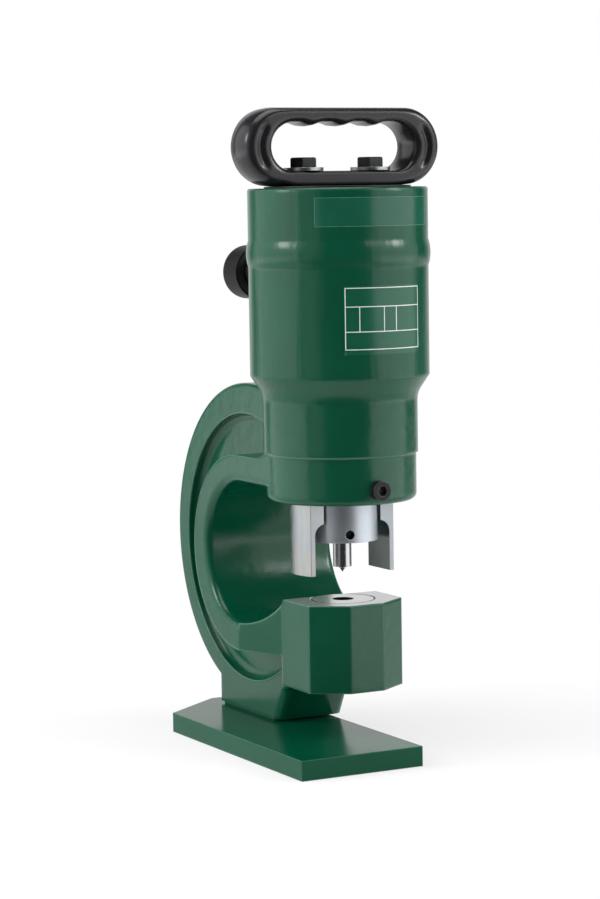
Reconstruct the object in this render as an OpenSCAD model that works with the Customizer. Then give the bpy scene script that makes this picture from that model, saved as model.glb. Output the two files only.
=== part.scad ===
// Hydraulic hole punch: a cast C-frame on a base plate, with an upright spring-return cylinder
// that drives a punch through a fixed stripper into a die. Millimetres, +Z up, the front is -Y.
// The origin is where the punch axis meets the underside of the base plate.

/* [Base plate] */
// Thickness of the plate
plate_t = 12; // [9:0.5:20]
// Reach of the plate to the left of the punch axis
plate_left = 65; // [50:1:90]
// Reach of the plate to the right of the punch axis
plate_right = 16; // [12:1:60]
// Reach of the plate in front of the punch axis
plate_front = 66; // [45:1:90]
// Reach of the plate behind the punch axis
plate_rear = 139; // [130:1:170]
// Width of the cut corner at the rear left
plate_cut_w = 43; // [5:1:45]
// Length of the cut corner at the rear left
plate_cut_l = 32; // [5:1:60]
// Thread of the screws that hold the plate to the foot
base_screw_d = 8; // [6:1:10]
// Distance between the two base screws
base_screw_pitch = 36; // [20:1:50]
// Depth of those screws in the foot
base_screw_depth = 14; // [8:1:20]

/* [C-frame] */
// Radius of the round throat
throat_r = 43.5; // [40:0.5:47]
// Distance from the punch axis to the centre of the throat
throat_reach = 52; // [47:0.5:60]
// Height of the throat's centre above the die
throat_rise = 25.5; // [22:0.5:30]
// Thickness of the flange that lines the throat
flange_t = 17; // [13:0.5:20]
// Width of that flange
flange_w = 90; // [70:1:96]
// Radius of the flange's edges inside the throat
flange_edge_r = 5; // [1:0.5:6]
// Outer radius of the rim
rim_r = 100; // [96:1:110]
// Distance from the throat's centre back to the rim's centre
rim_shift = 30; // [26:0.5:34]
// Height of the rim's centre above the throat's centre
rim_rise = 2; // [0:0.5:6]
// Width of the rim and the foot
rim_w = 46; // [36:1:60]
// Radius of the rim's rounded edges
rim_edge_r = 3; // [1:0.5:5]
// Radial thickness of the rim at its mid height
rim_t = 16; // [10:0.5:20]
// How far the pockets sit below the rim's own circle
pocket_drop = 3; // [0:0.5:4]
// Thickness of the web between the side pockets
web_t = 31; // [20:1:34]
// Radius in the corner of a pocket
pocket_fillet = 5; // [1:0.5:6]
// Distance from the punch axis to the front of the foot
foot_front = 43; // [38:1:60]
// Distance from the punch axis to the rear of the foot
foot_rear = 122; // [110:1:130]
// Lean of the foot's front face
foot_lean = 28; // [0:1:35]
// Radius of the foot's upright front edges
foot_edge_r = 7; // [2:0.5:12]
// Height of the narrower sole under the foot
sole_h = 1.5; // [1:0.5:5]
// How far the sole steps in
sole_inset = 1.5; // [0.5:0.5:4]

/* [Die block] */
// Gap between the base plate and the die block
block_clear = 28; // [20:1:40]
// Height of the die block
block_h = 53; // [45:1:65]
// Width of the die block
block_w = 64; // [56:1:80]
// Reach of the die block in front of the punch axis
block_front = 29.5; // [26:0.5:40]
// Reach of the die block behind the punch axis
block_rear = 20; // [16:0.5:24]
// Width of the block's middle front facet
facet_w = 23; // [14:1:30]
// How far the side facets fall back
facet_fall = 14; // [4:0.5:18]

/* [Head] */
// Clear height between the die and the head
daylight = 61; // [56:0.5:66]
// Step in from the head's upper part to its lower part
head_step = 1.2; // [0.4:0.1:3]
// Height of the head's lower part
head_low_h = 28.6; // [26:0.1:32]
// Height of the head's upper part
head_up_h = 31.2; // [28:0.1:45]
// Fillet between the head and the flange
head_fillet_r = 8; // [2:0.5:12]
// Radius of the head's bottom edge
head_edge_r = 4; // [1:0.5:6]

/* [Cylinder] */
// Outer radius of the barrel
barrel_r = 54; // [51:0.5:60]
// Height of the barrel's tapered foot
taper_h = 11.2; // [6:0.2:16]
// How far the tapered foot draws in
taper_in = 7.4; // [3:0.2:10]
// Radius of the hollow under the tapered foot
taper_fillet_r = 14; // [4:0.5:20]
// Height of the barrel above the taper
barrel_h = 112; // [108:1:130]
// Wall of the barrel
barrel_wall = 16.5; // [12:0.5:20]
// Height of the band that stands out round the barrel
bead_h = 16; // [8:0.5:20]
// How far the band stands out
bead_out = 1.3; // [0.5:0.1:3]
// Height of the band's middle below the barrel's top
bead_drop = 39; // [30:0.5:60]
// Chamfer of the barrel's top edge
barrel_chamfer = 1; // [0.5:0.1:4]
// Wall of the barrel round the plug that closes it
collar_t = 10; // [7:0.5:14]
// Thickness of the plug's top
cap_roof = 24; // [20:1:30]
// Wall of the plug's skirt
cap_wall = 14; // [8:0.5:18]
// How far the plug stands above the barrel
cap_proud = 1; // [0.5:0.25:3]
// Depth of the oil port below the barrel's top
port_drop = 52.5; // [48:0.5:60]
// Height of the port above the ram at rest
oil_gap = 4.5; // [3:0.5:8]

/* [Ram] */
// Diameter of the ram's rod
rod_d = 40; // [36:0.5:42]
// Diameter of the stud that the punch nut screws on
stud_d = 28; // [24:0.5:32]
// Height of the piston
piston_h = 28; // [24:1:32]
// Working stroke
stroke = 22; // [10:0.5:24]
// Length of the guide bush
bush_h = 20; // [12:0.5:22]
// Wall of the guide bush
bush_wall = 7; // [4:0.5:8]
// Wire of the return spring
spring_wire_d = 5.5; // [4:0.25:6]
// Turns of the return spring
spring_turns = 3.5; // [2.5:0.5:4]

/* [Punch and die] */
// Diameter of the punch
punch_d = 11.2; // [6:0.1:14]
// Height of the punch's end over the die at rest
punch_gap = 20; // [18:0.5:24]
// Length of punch below its nut
punch_reach = 16.4; // [10:0.2:22]
// Diameter of the punch nut
nut_d = 43; // [38:0.5:44]
// Height of the punch nut
nut_h = 28; // [24:0.5:34]
// Diameter of the nut's spanner hole
spanner_hole_d = 5.5; // [3:0.5:6]
// Height of the spanner hole above the nut's bottom
spanner_hole_rise = 5; // [4:0.5:9]
// Turn of the spanner hole from the front
spanner_hole_angle = -16; // [-90:1:90]
// Outer diameter of the die
die_d = 39; // [30:0.5:44]
// Height of the die
die_h = 20; // [12:0.5:28]
// Hole of the die
die_hole_d = 13; // [12:0.1:16]
// Diameter of the slug hole under the die
slug_d = 30; // [20:0.5:32]

/* [Stripper] */
// Outer diameter of the stripper tube
stripper_d = 62.5; // [58:0.5:66]
// Bore of the stripper tube
stripper_bore_d = 46.5; // [44.5:0.5:49]
// Depth of the stripper's socket in the head
socket_h = 22; // [18:0.5:24]
// Length of the legs below the head
leg_h = 44; // [35:0.5:52]
// Width of a leg
leg_w = 26; // [16:0.5:34]
// Distance between the legs' inner flats
leg_span = 51; // [48:0.5:56]
// Depth of the legs' arch below the head
leg_arch_drop = 13; // [4:0.5:20]
// Radius of the arch at the top of the legs
leg_arch_r = 7; // [2:0.5:10]
// Thread of the clamping screw
clamp_screw_d = 8; // [6:0.5:10]
// Height of the clamping screw above the head's bottom
clamp_screw_rise = 9; // [7:0.5:12]

/* [Handle] */
// Length of the handle
handle_l = 133; // [110:1:150]
// Height of the handle
handle_h = 46.5; // [40:0.5:56]
// Thickness of the handle
handle_t = 26; // [18:0.5:32]
// How far the handle's middle lies behind its bolts
handle_shift = 1.5; // [0:0.25:3]
// Radius of the handle's rounded edges
handle_edge_r = 6; // [2:0.5:10]
// Height of the bar along the bottom
handle_bottom_t = 9; // [6:0.5:12]
// Height of the grip along the top
handle_top_t = 7.5; // [6:0.5:12]
// Chamfer of the opening's edges
opening_chamfer = 2.5; // [0.5:0.25:4]
// Width of the bars at the ends
handle_end_t = 16; // [10:0.5:20]
// Distance between the finger rests
finger_pitch = 20; // [16:0.5:22]
// Number of finger rests
finger_rests = 4; // [2:1:4]
// Depth of the finger rests
finger_depth = 2.4; // [0.5:0.1:4]
// Distance from a bolt's washer to the round end of the opening
washer_inset = 0.75; // [0.25:0.25:8]
// Radius of the grooves in the handle's ends
end_groove_r = 2; // [1:0.25:2.5]
// Distance from the opening to the middle of those grooves
end_groove_gap = 5.5; // [4:0.25:7]
// Sweep of those grooves
end_groove_sweep = 96; // [60:2:120]
// Thread of the handle bolts
bolt_d = 10; // [8:1:12]
// Depth of the bolts' tapped holes
tap_depth = 17; // [12:0.5:19]
// Width of the bolt heads across their corners
bolt_hex_d = 17.5; // [16:0.5:22]
// Height of the bolt heads
bolt_head_h = 6; // [5:0.2:8]
// Diameter of the washers
washer_d = 24; // [20:0.5:28]
// Thickness of the washers
washer_t = 2; // [1:0.25:3]

/* [Coupler] */
// Radius of the coupler's neck
neck_r = 10; // [9:0.5:13]
// Distance from the punch axis to the coupler's threaded end
neck_reach = 106; // [96:1:118]
// Radius of the coupler's threaded end
nipple_r = 15; // [13:0.5:18]
// Length of the coupler's threaded end
nipple_l = 14; // [12:0.5:20]
// Outer radius of the dust cap
dust_cap_r = 17; // [16.5:0.5:24]
// How far the dust cap reaches past the coupler's threaded end
dust_cap_lap = 3; // [1:0.5:6]
// Thickness of the dust cap's end
dust_cap_end_t = 3.5; // [2:0.5:6]
// Diameter of the coupler's thread in the barrel
port_d = 17; // [14:0.5:19]
// Diameter of the flat that the coupler seats on
spot_d = 31; // [28:0.5:34]
// Diameter of the oil passage into the bore
oil_hole_d = 5.4; // [3:0.2:7]
// Bore of the valve chamber
chamber_d = 14; // [12:0.5:15]
// Bore of the valve seat
seat_d = 8.7; // [6:0.1:10]

/* [Hidden] */
$fn = 64;

// Clearances and the overrun of cuts
over = 1;
slip = 0.1;
run_fit = 0.05;
soft_gap = 0.3;

// Socket screws: width of the head and of its key, and the point, as shares of the thread
head_share = 1.6;
key_share = 0.8;
point_share = 0.8;
low_head_share = 1.45;
low_head_h_share = 0.6;
hole_depth_share = 1.6;

// Colours
green = [0.13, 0.40, 0.32];
black = [0.07, 0.07, 0.07];
steel = [0.70, 0.71, 0.72];
zinc = [0.80, 0.81, 0.82];
bronze = [0.72, 0.53, 0.30];
seal = [0.16, 0.22, 0.35];

// Heights, from the base plate up
z_block = plate_t + block_clear;
z_die = z_block + block_h;
z_head = z_die + daylight;
z_head_step = z_head + head_low_h;
z_seat = z_head_step + head_up_h;
taper_a = atan(taper_in / taper_h);
fillet_h = taper_fillet_r * tan(taper_a / 2);
z_taper = z_seat + fillet_h + taper_h;
z_top = z_taper + barrel_h;
z_throat = z_die + throat_rise;
z_roof = z_throat + throat_r;
z_rim = z_throat + rim_rise;
rim_y = throat_reach + rim_shift;
flange_r = throat_r + flange_t;
z_neck = z_throat - flange_r;

// The inside of the cylinder, from the top down
bore_r = barrel_r - barrel_wall;
rod_r = rod_d / 2;
cap_r = barrel_r - collar_t;
port_r = port_d / 2;
stop_gap = 0.5;
z_port = z_top - port_drop;
z_cap = z_port + port_r + stop_gap;
cap_h = z_top - z_cap;
z_grip = z_top + cap_proud;
z_piston_top = z_port - oil_gap;
z_piston = z_piston_top - piston_h;
z_spigot = z_piston - stroke - stop_gap;
spigot_r = bore_r + barrel_wall / 3;
head_up_r = barrel_r - taper_in;
head_low_r = head_up_r - head_step;

// The head's bores, from the bottom up
stripper_r = stripper_d / 2;
z_socket = z_head + socket_h;
shoulder_h = 6;
z_bush = z_socket + shoulder_h;
z_spring_seat = z_bush + bush_h;
spring_seat_t = 3;
z_spring = z_spring_seat + spring_seat_t;
bush_r = rod_r + bush_wall;
wiper_wall = 4;
wiper_h = 4;
spring_r = (rod_r + bore_r) / 2;
spring_room_r = spring_r + spring_wire_d;

// The punch and what holds it
punch_r = punch_d / 2;
z_punch = z_die + punch_gap;
z_nut = z_punch + punch_reach;
z_nut_top = z_nut + nut_h;
nut_floor = 5;
punch_head_r = punch_r * 2;
punch_cone_h = punch_head_r - punch_r;
z_punch_head = z_nut + nut_floor + punch_cone_h;
z_stud = z_punch_head + slip;
stud_r = stud_d / 2;
pilot_r = 1.8;
pilot_h = 3.5;
z_screw = z_head + clamp_screw_rise;

// Flat rectangle with rounded corners, centred
module rounded_rect(w, h, r) {
  square([w - 2 * r, h], center = true);
  square([w, h - 2 * r], center = true);
  for (sx = [-1, 1], sy = [-1, 1])
    translate([sx * (w / 2 - r), sy * (h / 2 - r)]) circle(r);
}

// Half section of a disc with rounded outer edges, for turning about its axis
module disc_section(r, w, e) {
  translate([0, -w / 2]) square([r - e, w]);
  translate([0, e - w / 2]) square([r, w - 2 * e]);
  for (s = [-1, 1]) translate([r - e, s * (w / 2 - e)]) circle(e);
}

// Places a turned shape so that its axis lies along X
module axis_x(y, z) {
  translate([0, y, z]) rotate([0, 90, 0]) children();
}

// Places a turned shape so that its axis runs back along +Y from a point
module axis_y(y, z) {
  translate([0, y, z]) rotate([-90, 0, 0]) children();
}

// A ring with a square section
module ring(r_out, r_in, h) {
  difference() {
    cylinder(r = r_out, h = h);
    translate([0, 0, -over]) cylinder(r = r_in, h = h + 2 * over);
  }
}

// Socket head of a screw, standing on its seat, with its hexagon recess
module socket_head(d, h, key_d) {
  key_depth = key_d / 2;
  difference() {
    cylinder(d = d, h = h);
    translate([0, 0, h - key_depth]) cylinder(d = key_d, h = key_depth + over, $fn = 6);
  }
}

// A wire wound round Z: one closed tube of hexagonal section
coil_rings = 8;
coil_sides = 6;
function coil_point(r, wire_r, pitch, turn, side) =
  let (a = turn * 360, b = side * 360 / coil_sides, q = r + wire_r * cos(b))
  [q * cos(a), q * sin(a), turn * pitch + wire_r * sin(b)];

module coil(r, wire_r, length, turns) {
  pitch = (length - 2 * wire_r) / turns;
  rings = floor(turns * coil_rings);
  points = [for (i = [0:rings], j = [0:coil_sides - 1])
    coil_point(r, wire_r, pitch, i * turns / rings, j)];
  sides = [for (i = [0:rings - 1], j = [0:coil_sides - 1])
    let (a = i * coil_sides, b = a + coil_sides, k = (j + 1) % coil_sides)
    each [[a + j, b + j, b + k], [a + j, b + k, a + k]]];
  last = rings * coil_sides;
  ends = [for (j = [1:coil_sides - 2])
    each [[0, j, j + 1], [last, last + j + 1, last + j]]];
  translate([0, 0, wire_r]) polyhedron(points, concat(sides, ends), convexity = coil_rings);
  echo(coil_gap = pitch - 2 * wire_r);
}

// Round body of the frame on its foot: rim, web and side pockets, open to the front
module frame_disc() {
  pocket_r = rim_r - rim_t;
  pocket_depth = (rim_w - web_t) / 2 + over;
  difference() {
    union() {
      axis_x(rim_y, z_rim) rotate_extrude() disc_section(rim_r, rim_w, rim_edge_r);
      foot();
    }
    for (s = [0, 1]) axis_x(rim_y, z_rim - pocket_drop) mirror([0, 0, s])
      rotate_extrude() {
        translate([0, web_t / 2]) square([pocket_r - pocket_fillet, pocket_depth]);
        translate([0, web_t / 2 + pocket_fillet]) square([pocket_r, pocket_depth - pocket_fillet]);
        translate([pocket_r - pocket_fillet, web_t / 2 + pocket_fillet]) circle(pocket_fillet);
      }
    axis_x(throat_reach, z_throat) cylinder(r = throat_r + flange_t / 2, h = flange_w, center = true);
    translate([-flange_w / 2, -rim_r, plate_t]) cube([flange_w, rim_r + block_rear, z_block - plate_t]);
    translate([-flange_w / 2, -rim_r, z_die]) cube([flange_w, rim_r + throat_reach, z_roof - z_die]);
  }
}

// Section of the flange: sharp outside, round where it meets the throat
module flange_section() {
  rounded_rect(flange_w, flange_t, flange_edge_r);
  translate([-flange_w / 2, -flange_t / 2]) square([flange_w, flange_t / 2]);
}

// Flange that lines the throat, with its roof run forward into the head
module throat_flange() {
  axis_x(throat_reach, z_throat) rotate_extrude(angle = 180)
    translate([throat_r + flange_t / 2, 0]) rotate([0, 0, 90]) flange_section();
  translate([0, 0, z_roof + flange_t / 2]) rotate([-90, 0, 0])
    linear_extrude(throat_reach) flange_section();
}

// Die block with three front facets, and the neck that widens back to the flange
module die_block() {
  half = block_w / 2;
  side = facet_fall - block_front;
  front = [[-half, side], [-facet_w / 2, -block_front], [facet_w / 2, -block_front], [half, side]];
  difference() {
    union() {
      translate([0, 0, z_block]) linear_extrude(block_h)
        polygon(concat(front, [[half, block_rear], [-half, block_rear]]));
      translate([0, 0, z_neck]) linear_extrude(z_die - z_neck)
        polygon([[-half, 0], [half, 0], [half, block_rear], [flange_w / 2, throat_reach],
                 [-flange_w / 2, throat_reach], [-half, block_rear]]);
    }
    axis_x(throat_reach, z_throat) cylinder(r = throat_r, h = 2 * flange_w, center = true);
  }
}

// Foot that carries the frame, leaning forward under the die block, on a narrower sole
module foot() {
  nose = rim_w;
  tall = z_neck - plate_t;
  split = foot_front + foot_edge_r + sole_inset;
  intersection() {
    translate([-rim_w, 0, plate_t + sole_h]) cube([2 * rim_w, foot_rear, tall - sole_h]);
    union() {
      translate([0, foot_front, plate_t]) rotate([foot_lean, 0, 0]) translate([0, nose / 2, 0])
        linear_extrude(3 * tall, center = true) rounded_rect(rim_w, nose, foot_edge_r);
      translate([-rim_w / 2, split, plate_t]) cube([rim_w, foot_rear - split, z_rim - rim_r + rim_t]);
    }
  }
  translate([sole_inset - rim_w / 2, split, plate_t])
    cube([rim_w - 2 * sole_inset, foot_rear - split - sole_inset, sole_h + over]);
}

// Cylindrical head with the spigot that the barrel screws on
module head() {
  translate([0, 0, z_head]) rotate_extrude() {
    translate([0, head_edge_r]) square([head_low_r, head_low_h - head_edge_r]);
    square([head_low_r - head_edge_r, head_low_h]);
    translate([head_low_r - head_edge_r, head_edge_r]) circle(head_edge_r);
    translate([0, head_low_h]) square([head_up_r, head_up_h]);
    translate([0, head_low_h]) square([spigot_r, z_spigot - z_head_step]);
  }
}

// Fillet that joins the head's back to the top of the throat flange
module head_fillet() {
  z_flange = z_roof + flange_t;
  reach = head_low_r + head_fillet_r;
  intersection() {
    translate([0, 0, z_flange]) rotate_extrude() difference() {
      translate([head_low_r - over, -flange_edge_r])
        square([head_fillet_r + over, head_fillet_r + flange_edge_r]);
      translate([reach - slip, head_fillet_r - slip]) circle(head_fillet_r);
    }
    translate([-flange_w / 2, 0, z_flange - flange_edge_r])
      cube([flange_w, reach + over, head_fillet_r + flange_edge_r]);
  }
}

base_screw_l = plate_t + base_screw_depth;
base_sink = base_screw_d + soft_gap;
base_screw_y = (foot_front + foot_rear) / 2 + foot_edge_r;

module at_base_screws() {
  for (s = [-1, 1]) translate([0, base_screw_y + s * base_screw_pitch / 2, 0]) children();
}

module c_frame() {
  color(green) difference() {
    union() {
      frame_disc();
      throat_flange();
      die_block();
      head();
      head_fillet();
    }
    // Room for the barrel's foot
    translate([0, 0, z_seat]) ring(barrel_r + soft_gap, spigot_r, barrel_h);
    // Stripper socket, rod passage, bush and spring bores
    translate([0, 0, z_head - over]) cylinder(r = stripper_r + slip, h = socket_h + over);
    translate([0, 0, z_head]) cylinder(r = rod_r + wiper_wall + slip, h = z_bush - z_head + over);
    translate([0, 0, z_bush]) cylinder(r = bush_r + slip, h = bush_h + over);
    translate([0, 0, z_spring_seat]) cylinder(r = spring_room_r, h = z_spigot - z_spring_seat + over);
    // Clamping screw of the stripper
    translate([0, 0, z_screw]) rotate([90, 0, 0])
      cylinder(d = clamp_screw_d + 2 * slip, h = head_low_r + over);
    // Die seat, slug hole and the die's set screw
    translate([0, 0, z_die - die_h]) cylinder(d = die_d + 2 * slip, h = die_h + over);
    translate([0, 0, z_block - over]) cylinder(d = slug_d, h = block_h);
    translate([0, 0, z_die - die_h / 2]) rotate([0, 90, 0])
      cylinder(d = set_screw_d + 2 * slip, h = block_w);
    // Tapped holes for the base plate
    at_base_screws() translate([0, 0, plate_t - over])
      cylinder(d = base_screw_d + 2 * slip, h = base_screw_l - base_sink + over);
  }
}

module base_plate() {
  cut = [plate_cut_w - plate_left, plate_rear];
  color(green) difference() {
    linear_extrude(plate_t) polygon([
      [-plate_left, -plate_front], [plate_right, -plate_front], [plate_right, plate_rear],
      cut, [-plate_left, plate_rear - plate_cut_l]]);
    at_base_screws() {
      translate([0, 0, -over]) cylinder(d = base_screw_d + 4 * slip, h = plate_t + 2 * over);
      translate([0, 0, -over]) cylinder(d = base_screw_d * head_share + 4 * slip, h = base_sink + over);
    }
  }
}

module base_screws() {
  color(black) at_base_screws() {
    translate([0, 0, base_sink - slip]) cylinder(d = base_screw_d, h = base_screw_l - base_sink);
    translate([0, 0, base_sink]) mirror([0, 0, 1])
      socket_head(base_screw_d * head_share, base_screw_d, base_screw_d * key_share);
  }
}

arc_steps = 10;

// Section of the barrel's outer wall, turned about the punch axis
module barrel_section() {
  bead = z_top - bead_drop;
  bead_r = (pow(bead_h / 2, 2) + pow(bead_out, 2)) / (2 * bead_out);
  bead_a = asin(bead_h / 2 / bead_r);
  hollow = [for (i = [0:arc_steps]) let (a = taper_a * i / arc_steps)
    [head_up_r + taper_fillet_r * (1 - cos(a)), z_seat + taper_fillet_r * sin(a)]];
  band = [for (i = [0:arc_steps]) let (a = bead_a * (2 * i / arc_steps - 1))
    [barrel_r + bead_out - bead_r * (1 - cos(a)), bead + bead_r * sin(a)]];
  polygon(concat(
    [[0, z_seat]], hollow, [[barrel_r, z_taper]], band,
    [[barrel_r, z_top - barrel_chamfer], [barrel_r - barrel_chamfer, z_top], [0, z_top]]));
}

spot_r = spot_d / 2;
spot_sink = 0.5;
spot_y = sqrt(pow(barrel_r, 2) - pow(spot_r, 2)) - spot_sink;
port_y = bore_r + (spot_y - bore_r) / 4;
thread_relief = 3;

module cylinder_barrel() {
  color(green) difference() {
    rotate_extrude() barrel_section();
    translate([0, 0, z_seat - over])
      cylinder(r = spigot_r + slip, h = z_spigot - z_seat + stop_gap / 2 + over);
    translate([0, 0, z_seat]) cylinder(r = bore_r, h = z_top - z_seat);
    translate([0, 0, z_cap]) cylinder(r = cap_r + slip, h = cap_h + over);
    axis_y(0, z_port) cylinder(d = oil_hole_d, h = barrel_r);
    axis_y(port_y, z_port) cylinder(r = port_r + slip, h = barrel_r);
    axis_y(spot_y, z_port) cylinder(r = spot_r, h = barrel_r);
  }
}

ring_w = 3.5;
o_ring_z = z_cap + cap_h / 6;

module cylinder_cap() {
  color(black) difference() {
    translate([0, 0, z_cap]) cylinder(r = cap_r, h = cap_h + cap_proud);
    translate([0, 0, z_cap - over]) cylinder(r = cap_r - cap_wall, h = cap_h + cap_proud - cap_roof + over);
    translate([0, 0, o_ring_z]) ring(cap_r + over, cap_r - ring_w, ring_w + 2 * slip);
    at_handle_bolts(z_grip - tap_depth) cylinder(d = bolt_d + 2 * slip, h = tap_depth + over);
  }
}

module cap_o_ring() {
  color(black) translate([0, 0, o_ring_z + slip]) ring(cap_r, cap_r - ring_w + slip, ring_w);
}

// Finger opening of the handle: radius and place of its round ends
open_r = (handle_h - handle_bottom_t - handle_top_t) / 2;
open_x = handle_l / 2 - handle_end_t - open_r;
open_z = handle_bottom_t + open_r - handle_h / 2;
bolt_x = open_x - washer_d / 2 - washer_inset;

module at_handle_bolts(z) {
  for (s = [-1, 1]) translate([s * bolt_x, 0, z]) children();
}

// Solid of the handle's outline, a bar with round ends and rounded edges
module handle_bar() {
  end = handle_l / 2 - handle_h / 2;
  for (s = [-1, 1]) translate([s * end, 0, 0]) rotate([90, 0, 0])
    rotate_extrude() disc_section(handle_h / 2, handle_t, handle_edge_r);
  rotate([90, 0, 90]) linear_extrude(2 * end, center = true)
    rounded_rect(handle_t, handle_h, handle_edge_r);
}

// Finger opening of the handle, with finger rests under the grip
module handle_opening() {
  finger_r = (pow(finger_pitch / 2, 2) + pow(finger_depth, 2)) / (2 * finger_depth);
  through = 2 * handle_t;
  rests_w = finger_rests * finger_pitch;
  difference() {
    translate([0, 0, open_z]) rotate([90, 0, 0]) {
      for (s = [-1, 1]) translate([s * open_x, 0, 0]) cylinder(r = open_r, h = through, center = true);
      translate([-open_x, -open_r, -through / 2]) cube([2 * open_x, 2 * open_r, through]);
    }
    translate([-rests_w / 2, -through, open_z + open_r - finger_depth])
      cube([rests_w, 2 * through, finger_depth + over]);
  }
  intersection() {
    for (i = [0:finger_rests - 1])
      translate([(i + 1 / 2) * finger_pitch - rests_w / 2, 0, open_z + open_r - finger_r]) rotate([90, 0, 0])
        cylinder(r = finger_r, h = through, center = true);
    translate([-rests_w / 2, -through, open_z]) cube([rests_w, 2 * through, 2 * open_r]);
  }
}

// Round grooves that follow the opening's ends on both faces
module end_grooves() {
  r = open_r + end_groove_gap;
  for (sx = [0, 1], sy = [0, 1]) mirror([sx, 0, 0]) mirror([0, sy, 0])
    translate([open_x, handle_t / 2, open_z]) rotate([90, 0, 0]) rotate([0, 0, -end_groove_sweep / 2])
      rotate_extrude(angle = end_groove_sweep) translate([r, 0]) circle(end_groove_r);
}

// Chamfer round the ends and along the bottom of the opening, on both faces
module opening_lips() {
  flare = opening_chamfer + over;
  for (s = [0, 1]) mirror([0, s, 0]) translate([0, -handle_t / 2 - over, open_z]) rotate([-90, 0, 0]) {
    for (e = [-1, 1]) translate([e * open_x, 0, 0]) cylinder(r1 = open_r + flare, r2 = open_r, h = flare);
    rotate([90, 0, 90]) linear_extrude(2 * open_x, center = true)
      polygon([[0, 0], [open_r + flare, 0], [open_r, flare], [0, flare]]);
  }
}

module carry_handle() {
  color(black) translate([0, 0, z_grip + handle_h / 2]) difference() {
    translate([0, handle_shift, 0]) difference() {
      handle_bar();
      handle_opening();
      opening_lips();
      end_grooves();
    }
    at_handle_bolts(-handle_h) cylinder(d = bolt_d + 4 * slip, h = handle_h);
  }
}

z_washer = z_grip + handle_bottom_t;
z_bolt_head = z_washer + washer_t;

module handle_washers() {
  color(zinc) at_handle_bolts(z_washer) ring(washer_d / 2, bolt_d / 2 + 2 * slip, washer_t);
}

module handle_bolts() {
  shank = z_bolt_head - z_grip + tap_depth - thread_relief;
  color(black) at_handle_bolts(z_bolt_head) {
    cylinder(d = bolt_hex_d, h = bolt_head_h, $fn = 6);
    translate([0, 0, -shank]) cylinder(d = bolt_d, h = shank + over);
  }
}

groove_d = 5;
seal_h = 6;
wear_h = 8;
z_seal = z_piston_top - seal_h - piston_h / 7;
z_wear = z_piston + piston_h / 7;
piston_r = bore_r - run_fit;

module ram() {
  color(steel) difference() {
    union() {
      translate([0, 0, z_piston]) cylinder(r = piston_r, h = piston_h);
      translate([0, 0, z_nut_top]) cylinder(r = rod_r, h = z_piston - z_nut_top + over);
      translate([0, 0, z_stud]) cylinder(r = stud_r, h = z_nut_top - z_stud + over);
    }
    translate([0, 0, z_seal]) ring(bore_r + over, bore_r - groove_d, seal_h + 2 * slip);
    translate([0, 0, z_wear]) ring(bore_r + over, bore_r - groove_d, wear_h + 2 * slip);
  }
}

module piston_seal() {
  color(seal) translate([0, 0, z_seal + slip]) ring(piston_r, bore_r - groove_d + slip, seal_h);
}

module piston_wear_ring() {
  color(bronze) translate([0, 0, z_wear + slip]) ring(piston_r, bore_r - groove_d + slip, wear_h);
}

module guide_bush() {
  color(bronze) translate([0, 0, z_bush]) ring(bush_r, rod_r + run_fit, bush_h);
}

module rod_wiper() {
  color(seal) translate([0, 0, z_bush - wiper_h]) ring(rod_r + wiper_wall, rod_r + 2 * run_fit, wiper_h);
}

module spring_seat() {
  color(steel) translate([0, 0, z_spring_seat])
    ring(spring_room_r - soft_gap, rod_r + soft_gap, spring_seat_t);
}

module return_spring() {
  color(steel) translate([0, 0, z_spring + slip])
    coil(spring_r, spring_wire_d / 2, z_piston - z_spring - 2 * slip, spring_turns);
}

module punch() {
  color(steel) rotate_extrude() polygon([
    [0, z_punch - pilot_h], [pilot_r / 2, z_punch - pilot_h], [pilot_r, z_punch - pilot_h / 2],
    [pilot_r, z_punch], [punch_r, z_punch], [punch_r, z_nut + nut_floor],
    [punch_head_r, z_punch_head], [0, z_punch_head]]);
}

module punch_nut() {
  color(steel) difference() {
    translate([0, 0, z_nut]) cylinder(d = nut_d, h = nut_h);
    translate([0, 0, z_nut - over]) cylinder(r = punch_r + slip, h = nut_floor + 2 * over);
    translate([0, 0, z_nut + nut_floor])
      cylinder(r1 = punch_r + slip, r2 = punch_head_r + slip, h = punch_cone_h);
    translate([0, 0, z_punch_head]) cylinder(r = stud_r + slip, h = nut_h);
    rotate([0, 0, spanner_hole_angle]) translate([0, 0, z_nut + spanner_hole_rise])
      rotate([90, 0, 0]) translate([0, 0, nut_d / 2 - spanner_hole_d * hole_depth_share])
        cylinder(d = spanner_hole_d, h = 2 * spanner_hole_d);
  }
}

screw_point = 2;

module stripper() {
  z_foot = z_head - leg_h;
  z_arch = z_head - leg_arch_drop;
  arch = leg_span / 2 - leg_arch_r;
  color(zinc) difference() {
    translate([0, 0, z_foot]) cylinder(r = stripper_r, h = z_socket - z_foot);
    translate([0, 0, z_foot - over]) cylinder(d = stripper_bore_d, h = z_socket - z_foot + 2 * over);
    // Arch between the legs
    rotate([90, 0, 0]) linear_extrude(stripper_d, center = true) {
      translate([-leg_span / 2, z_foot - over]) square([leg_span, z_arch - z_foot - leg_arch_r + over]);
      translate([-arch, z_foot]) square([2 * arch, z_arch - z_foot]);
      for (s = [-1, 1]) translate([s * arch, z_arch - leg_arch_r]) circle(leg_arch_r);
    }
    // Front and back of the legs
    for (s = [0, 1]) mirror([0, s, 0])
      translate([-stripper_d, leg_w / 2, z_foot - over])
        cube([2 * stripper_d, stripper_d, z_head - z_foot + over]);
    // Dimple for the clamping screw
    translate([0, 0, z_screw]) rotate([90, 0, 0]) translate([0, 0, stripper_r - screw_point])
      cylinder(d = clamp_screw_d, h = 2 * screw_point);
  }
}

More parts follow.
